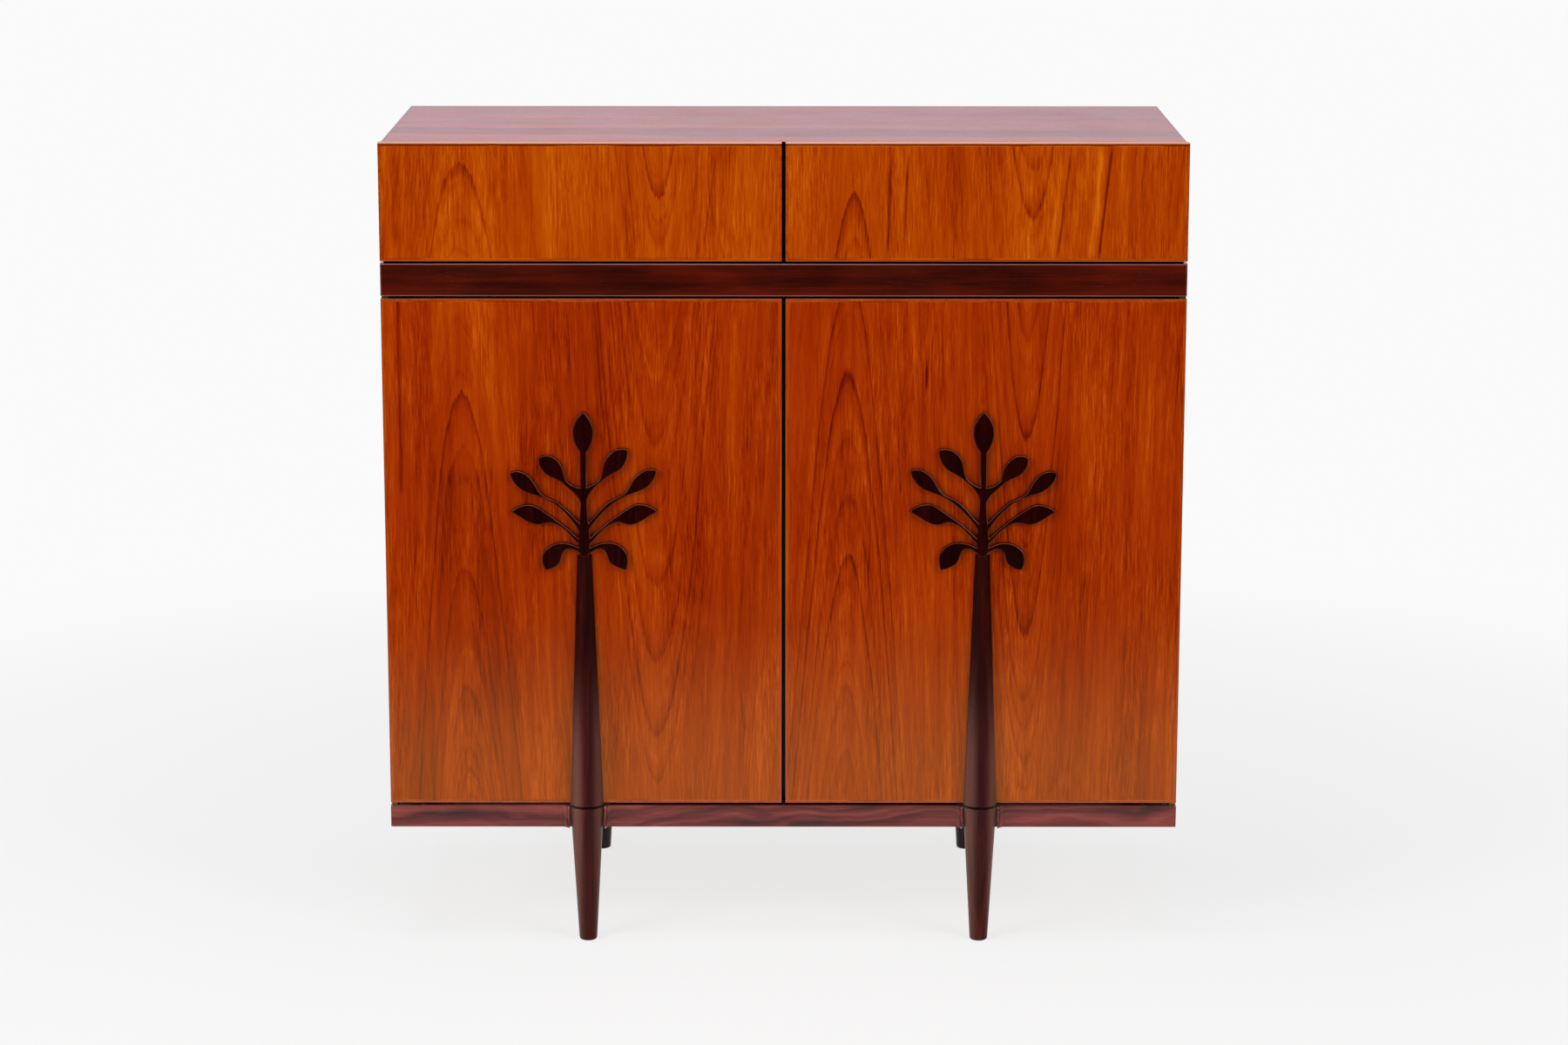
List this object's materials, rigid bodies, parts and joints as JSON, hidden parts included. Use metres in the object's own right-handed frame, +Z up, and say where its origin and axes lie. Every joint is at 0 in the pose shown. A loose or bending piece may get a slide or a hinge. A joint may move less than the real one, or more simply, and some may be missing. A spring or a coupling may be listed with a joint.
{
  "type": "storage cabinet",
  "caption": "Low wooden cabinet: drawers over cupboard doors, a carved leafy tree on each door whose trunk runs down into a turned leg.",
  "frame": {"origin": "on the floor, at the middle of the object's footprint box", "axes": "+Z up, the front faces -Y, +X is to the right for someone facing the front"},
  "size_m": [1.05, 0.4722, 1.0738],
  "materials": {
    "door_veneer": "gloss veneer, orange-brown, upright grain",
    "drawer_veneer": "gloss veneer, golden brown, upright grain",
    "case_veneer": "gloss veneer, grain along the board",
    "edge_lipping": "solid edge, gloss",
    "waist_rosewood": "dark reddish rosewood, gloss",
    "rail_rosewood": "dark rosewood, satin",
    "turned_rosewood": "turned dark rosewood, satin",
    "carved_rosewood": "sawn and eased dark rosewood, satin",
    "inside_wood": "pale wood, matt",
    "plywood": "plywood, matt",
    "brass_fitting": "brushed brass",
    "steel_screw": "bright zinc",
    "catch_plastic": "brown moulded plastic"
  },
  "bodies": {
    "cabinet": {"top_panel": "case_veneer", "side_panel_left": "case_veneer", "side_panel_right": "case_veneer", "bottom_panel": "inside_wood", "waist_board": "inside_wood", "drawer_partition": "inside_wood", "cupboard_partition": "inside_wood", "back_panel": "plywood", "back_panel_screws": "steel_screw", "waist_band": "waist_rosewood", "base_front_rail": "rail_rosewood", "base_rear_rail": "rail_rosewood", "base_end_rail_left": "rail_rosewood", "base_end_rail_right": "rail_rosewood", "front_leg_left": "turned_rosewood", "front_leg_right": "turned_rosewood", "rear_leg_left": "turned_rosewood", "rear_leg_right": "turned_rosewood", "base_spacers": "inside_wood", "base_screws": "steel_screw", "leg_screws": "steel_screw", "shelf_left": "inside_wood", "shelf_right": "inside_wood", "shelf_pins": "brass_fitting", "runner_screws": "steel_screw", "left_drawer_outer_runner": "inside_wood", "left_drawer_inner_runner": "inside_wood", "left_hinge_plates": "brass_fitting", "left_door_catch": "catch_plastic", "right_drawer_outer_runner": "inside_wood", "right_drawer_inner_runner": "inside_wood", "right_hinge_plates": "brass_fitting", "right_door_catch": "catch_plastic"},
    "left_door": {"left_door_panel": "door_veneer", "left_door_lipping": "edge_lipping", "left_door_trunk": "turned_rosewood", "left_door_leaf_spray": "carved_rosewood", "left_door_hinge_leaves": "brass_fitting", "left_door_strike": "steel_screw"},
    "right_door": {"right_door_panel": "door_veneer", "right_door_lipping": "edge_lipping", "right_door_trunk": "turned_rosewood", "right_door_leaf_spray": "carved_rosewood", "right_door_hinge_leaves": "brass_fitting", "right_door_strike": "steel_screw"},
    "left_drawer": {"left_drawer_front": "drawer_veneer", "left_drawer_front_lipping": "edge_lipping", "left_drawer_inner_side": "inside_wood", "left_drawer_outer_side": "inside_wood", "left_drawer_back": "inside_wood", "left_drawer_bottom": "plywood"},
    "right_drawer": {"right_drawer_front": "drawer_veneer", "right_drawer_front_lipping": "edge_lipping", "right_drawer_inner_side": "inside_wood", "right_drawer_outer_side": "inside_wood", "right_drawer_back": "inside_wood", "right_drawer_bottom": "plywood"}
  },
  "joints": [
    {"name": "left_door_hinge", "type": "hinge", "parent": "cabinet", "child": "left_door", "pos_m": [-0.519, -0.20738, 0.1896], "axis": [0, 0, -1], "range_deg": [0, 180]},
    {"name": "left_drawer_slide", "type": "slide", "parent": "cabinet", "child": "left_drawer", "axis": [0, -1, 0], "range_m": [0, 0.3]},
    {"name": "right_door_hinge", "type": "hinge", "parent": "cabinet", "child": "right_door", "pos_m": [0.519, -0.20738, 0.1896], "axis": [0, 0, 1], "range_deg": [0, 180]},
    {"name": "right_drawer_slide", "type": "slide", "parent": "cabinet", "child": "right_drawer", "axis": [0, -1, 0], "range_m": [0, 0.3]}
  ]
}
